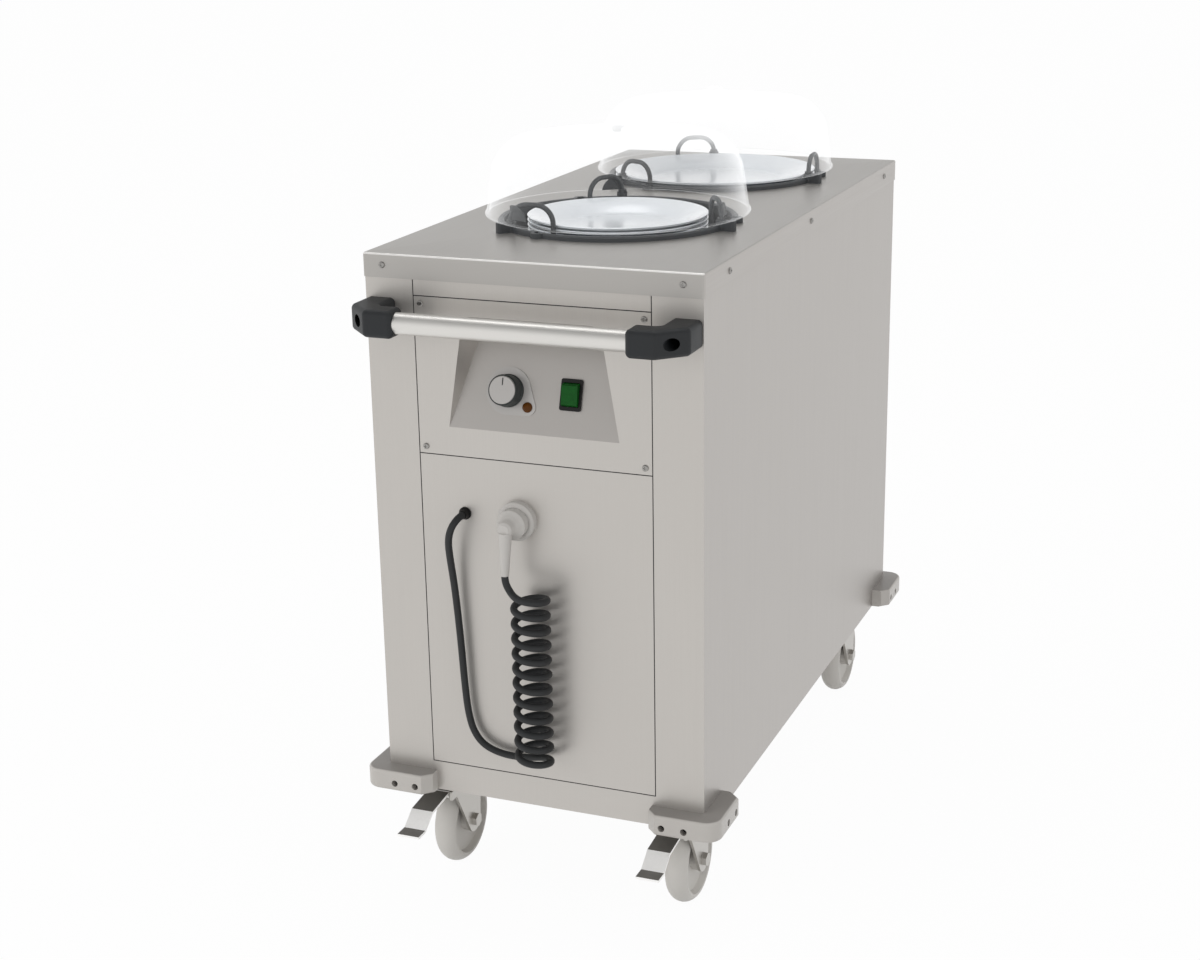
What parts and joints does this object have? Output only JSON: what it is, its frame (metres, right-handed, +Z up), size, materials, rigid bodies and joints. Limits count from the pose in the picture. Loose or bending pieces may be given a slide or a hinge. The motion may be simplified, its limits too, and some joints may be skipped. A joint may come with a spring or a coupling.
{
  "type": "heated plate dispenser",
  "caption": "Mobile heated plate dispenser: sprung self-levelling plate wells in a steel cabinet on casters, with clear domes, push handle and coiled mains lead.",
  "frame": {"origin": "on the floor, under the centre of the whole trolley with its handle and bumpers", "axes": "+Z up, -Y out of the control panel and push handle, +X to the right seen from there"},
  "size_m": [0.516, 1.0576, 1.0395],
  "materials": {
    "cabinet_steel": "fine brushed stainless sheet",
    "liner_steel": "plain stainless sheet",
    "fastener_steel": "bright zinc",
    "spring_steel": "spring steel",
    "heater_steel": "heat-stained sheath",
    "caster_steel": "zinc-plated pressings",
    "handle_aluminium": "satin tube",
    "knob_cap_aluminium": "satin disc",
    "bracket_plastic": "moulded, fine grain",
    "bumper_plastic": "moulded, satin",
    "knob_plastic": "moulded, satin",
    "dial_plastic": "printed plate, satin",
    "bezel_plastic": "moulded, satin",
    "rocker_green": "translucent green",
    "lamp_amber": "translucent amber",
    "dome_clear": "clear polycarbonate",
    "porcelain": "glazed white porcelain",
    "guide_coating": "dark grey coated",
    "cord_rubber": "matt sheath",
    "plug_plastic": "moulded, satin",
    "wheel_rubber": "grey non-marking tread"
  },
  "bodies": {
    "root": {"top_cover": "cabinet_steel", "side_panel_left": "cabinet_steel", "side_panel_right": "cabinet_steel", "front_frame": "cabinet_steel", "rear_frame": "cabinet_steel", "header_strip": "cabinet_steel", "control_panel": "cabinet_steel", "lower_front_panel": "cabinet_steel", "rear_panel": "cabinet_steel", "base_pan": "cabinet_steel", "cabinet_screws": "fastener_steel", "dial_plate": "dial_plastic", "pilot_lamp": "lamp_amber", "switch_bezel": "bezel_plastic", "handle_tube": "handle_aluminium", "handle_bracket_left": "bracket_plastic", "handle_bracket_right": "bracket_plastic", "corner_bumper_front_left": "bumper_plastic", "corner_bumper_front_right": "bumper_plastic", "corner_bumper_rear_left": "bumper_plastic", "corner_bumper_rear_right": "bumper_plastic", "socket_screws": "fastener_steel", "well_liner_front": "liner_steel", "well_liner_rear": "liner_steel", "guide_ring_front": "guide_coating", "guide_ring_rear": "guide_coating", "lift_springs_front": "spring_steel", "lift_springs_rear": "spring_steel", "heaters_and_thermostat": "heater_steel", "caster_plates": "caster_steel", "cord_gland": "bezel_plastic", "plug_holder": "plug_plastic", "plug": "plug_plastic", "cord_coil": "cord_rubber", "cord_lead": "cord_rubber"},
    "knob": {"thermostat_knob": "knob_plastic", "knob_cap": "knob_cap_aluminium"},
    "rocker": {"switch_rocker": "rocker_green"},
    "dome_front": {"dome_front": "dome_clear"},
    "carrier_front": {"carrier_front": "liner_steel", "plates_front": "porcelain"},
    "guide_front_a": {"plate_guide_front_a": "guide_coating"},
    "guide_front_b": {"plate_guide_front_b": "guide_coating"},
    "guide_front_c": {"plate_guide_front_c": "guide_coating"},
    "dome_rear": {"dome_rear": "dome_clear"},
    "carrier_rear": {"carrier_rear": "liner_steel", "plates_rear": "porcelain"},
    "guide_rear_a": {"plate_guide_rear_a": "guide_coating"},
    "guide_rear_b": {"plate_guide_rear_b": "guide_coating"},
    "guide_rear_c": {"plate_guide_rear_c": "guide_coating"},
    "fork_front_left": {"caster_fork_front_left": "caster_steel"},
    "wheel_front_left": {"caster_wheel_front_left": "wheel_rubber"},
    "fork_front_right": {"caster_fork_front_right": "caster_steel"},
    "wheel_front_right": {"caster_wheel_front_right": "wheel_rubber"},
    "fork_rear_left": {"caster_fork_rear_left": "caster_steel"},
    "wheel_rear_left": {"caster_wheel_rear_left": "wheel_rubber"},
    "fork_rear_right": {"caster_fork_rear_right": "caster_steel"},
    "wheel_rear_right": {"caster_wheel_rear_right": "wheel_rubber"},
    "pedal_left": {"brake_pedal_left": "caster_steel"},
    "pedal_right": {"brake_pedal_right": "caster_steel"}
  },
  "joints": [
    {"name": "knob_turn", "type": "hinge", "parent": "root", "child": "knob", "pos_m": [-0.039, -0.43517, 0.73097], "axis": [0, 0.9563, -0.2924], "range_deg": [0, 270]},
    {"name": "switch_tilt", "type": "hinge", "parent": "root", "child": "rocker", "pos_m": [0.048, -0.4347, 0.7325], "axis": [-1, 0, 0], "range_deg": [0, 14]},
    {"name": "dome_front_lift", "type": "slide", "parent": "root", "child": "dome_front", "axis": [0, 0, 1], "range_m": [0, 0.3]},
    {"name": "carrier_front_travel", "type": "slide", "parent": "root", "child": "carrier_front", "axis": [0, 0, -1], "range_m": [0, 0.45], "stiffness_N_per_m": 870, "springref_m": -0.12, "deforming": ["lift_springs_front"]},
    {"name": "guide_front_a_swing", "type": "hinge", "parent": "root", "child": "guide_front_a", "pos_m": [0.16011, -0.17329, 0.9035], "axis": [0, 0, -1], "range_deg": [0, 31]},
    {"name": "guide_front_b_swing", "type": "hinge", "parent": "root", "child": "guide_front_b", "pos_m": [-0.0536, 0.01118, 0.9035], "axis": [0, 0, -1], "range_deg": [0, 31]},
    {"name": "guide_front_c_swing", "type": "hinge", "parent": "root", "child": "guide_front_c", "pos_m": [-0.10651, -0.26614, 0.9035], "axis": [0, 0, -1], "range_deg": [0, 31]},
    {"name": "dome_rear_lift", "type": "slide", "parent": "root", "child": "dome_rear", "axis": [0, 0, 1], "range_m": [0, 0.3]},
    {"name": "carrier_rear_travel", "type": "slide", "parent": "root", "child": "carrier_rear", "axis": [0, 0, -1], "range_m": [0, 0.45], "stiffness_N_per_m": 1200, "springref_m": -0.1, "deforming": ["lift_springs_rear"]},
    {"name": "guide_rear_a_swing", "type": "hinge", "parent": "root", "child": "guide_rear_a", "pos_m": [0.16011, 0.24371, 0.9035], "axis": [0, 0, -1], "range_deg": [0, 3.6]},
    {"name": "guide_rear_b_swing", "type": "hinge", "parent": "root", "child": "guide_rear_b", "pos_m": [-0.0536, 0.42818, 0.9035], "axis": [0, 0, -1], "range_deg": [0, 3.6]},
    {"name": "guide_rear_c_swing", "type": "hinge", "parent": "root", "child": "guide_rear_c", "pos_m": [-0.10651, 0.15086, 0.9035], "axis": [0, 0, -1], "range_deg": [0, 3.6]},
    {"name": "swivel_front_left", "type": "hinge", "parent": "root", "child": "fork_front_left", "pos_m": [-0.174, -0.36325, 0.139], "axis": [0, 0, 1], "continuous": true},
    {"name": "spin_front_left", "type": "hinge", "parent": "fork_front_left", "child": "wheel_front_left", "pos_m": [-0.174, -0.35125, 0.0625], "axis": [1, 0, 0], "continuous": true},
    {"name": "swivel_front_right", "type": "hinge", "parent": "root", "child": "fork_front_right", "pos_m": [0.174, -0.36325, 0.139], "axis": [0, 0, 1], "continuous": true},
    {"name": "spin_front_right", "type": "hinge", "parent": "fork_front_right", "child": "wheel_front_right", "pos_m": [0.174, -0.35125, 0.0625], "axis": [1, 0, 0], "continuous": true},
    {"name": "swivel_rear_left", "type": "hinge", "parent": "root", "child": "fork_rear_left", "pos_m": [-0.174, 0.41375, 0.139], "axis": [0, 0, 1], "continuous": true},
    {"name": "spin_rear_left", "type": "hinge", "parent": "fork_rear_left", "child": "wheel_rear_left", "pos_m": [-0.174, 0.42575, 0.0625], "axis": [1, 0, 0], "continuous": true},
    {"name": "swivel_rear_right", "type": "hinge", "parent": "root", "child": "fork_rear_right", "pos_m": [0.174, 0.41375, 0.139], "axis": [0, 0, 1], "continuous": true},
    {"name": "spin_rear_right", "type": "hinge", "parent": "fork_rear_right", "child": "wheel_rear_right", "pos_m": [0.174, 0.42575, 0.0625], "axis": [1, 0, 0], "continuous": true},
    {"name": "pedal_left", "type": "hinge", "parent": "fork_front_left", "child": "pedal_left", "pos_m": [-0.174, -0.41525, 0.131], "axis": [-1, 0, 0], "range_deg": [0, 8]},
    {"name": "pedal_right", "type": "hinge", "parent": "fork_front_right", "child": "pedal_right", "pos_m": [0.174, -0.41525, 0.131], "axis": [-1, 0, 0], "range_deg": [0, 8]}
  ]
}
